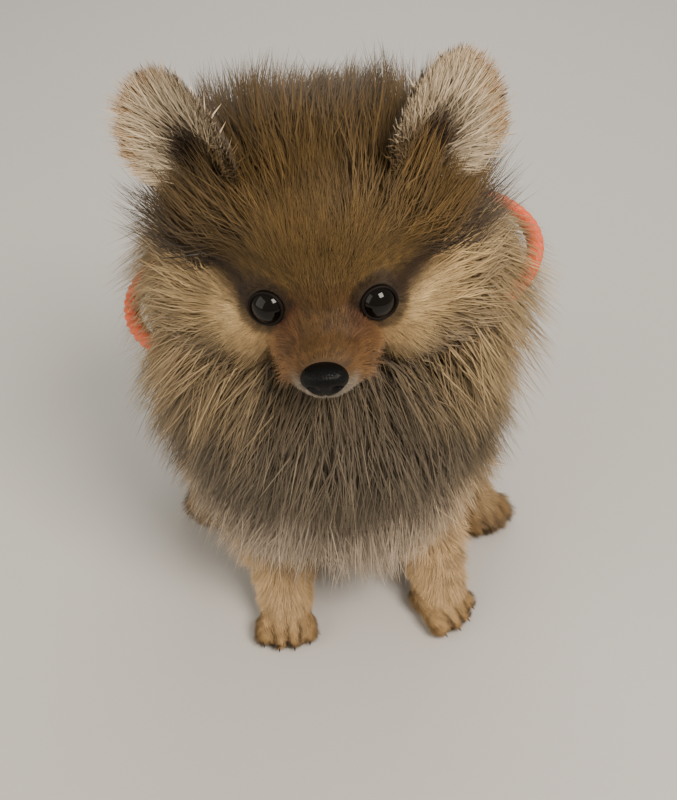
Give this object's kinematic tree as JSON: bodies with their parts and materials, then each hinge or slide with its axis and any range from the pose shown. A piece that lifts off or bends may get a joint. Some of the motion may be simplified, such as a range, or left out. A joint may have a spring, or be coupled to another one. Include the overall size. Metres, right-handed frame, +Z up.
{
  "type": "pomeranian puppy",
  "caption": "Life-size still model of a sitting, long-coated sable pomeranian puppy with pricked ears, plumed tail and a loose orange rope collar.",
  "frame": {"origin": "on the floor under the middle of the model's bounding box", "axes": "+Z up, the animal faces -Y, its left side is towards +X"},
  "size_m": [0.1644, 0.2128, 0.2362],
  "materials": {
    "sable_coat": "brown and tan hair with dark tips",
    "grey_coat": "grey-brown long hair with pale wisps",
    "tan_coat": "short golden tan hair",
    "cream_coat": "fine cream hair with a tan rim",
    "eye_gloss": "wet, near-black dark brown eye",
    "nose_leather": "black, finely pebbled, slightly moist",
    "rope": "bright orange laid rope"
  },
  "bodies": {
    "root": {"head": "sable_coat", "nose": "nose_leather", "eye_left": "eye_gloss", "eye_right": "eye_gloss", "ear_left": "cream_coat", "ear_right": "cream_coat", "neck": "grey_coat", "torso": "grey_coat", "tail": "sable_coat", "collar": "rope", "foreleg_left": "tan_coat", "foreleg_right": "tan_coat", "hind_foot_left": "tan_coat", "hind_foot_right": "tan_coat", "thigh_left": "grey_coat", "thigh_right": "grey_coat"}
  },
  "joints": []
}
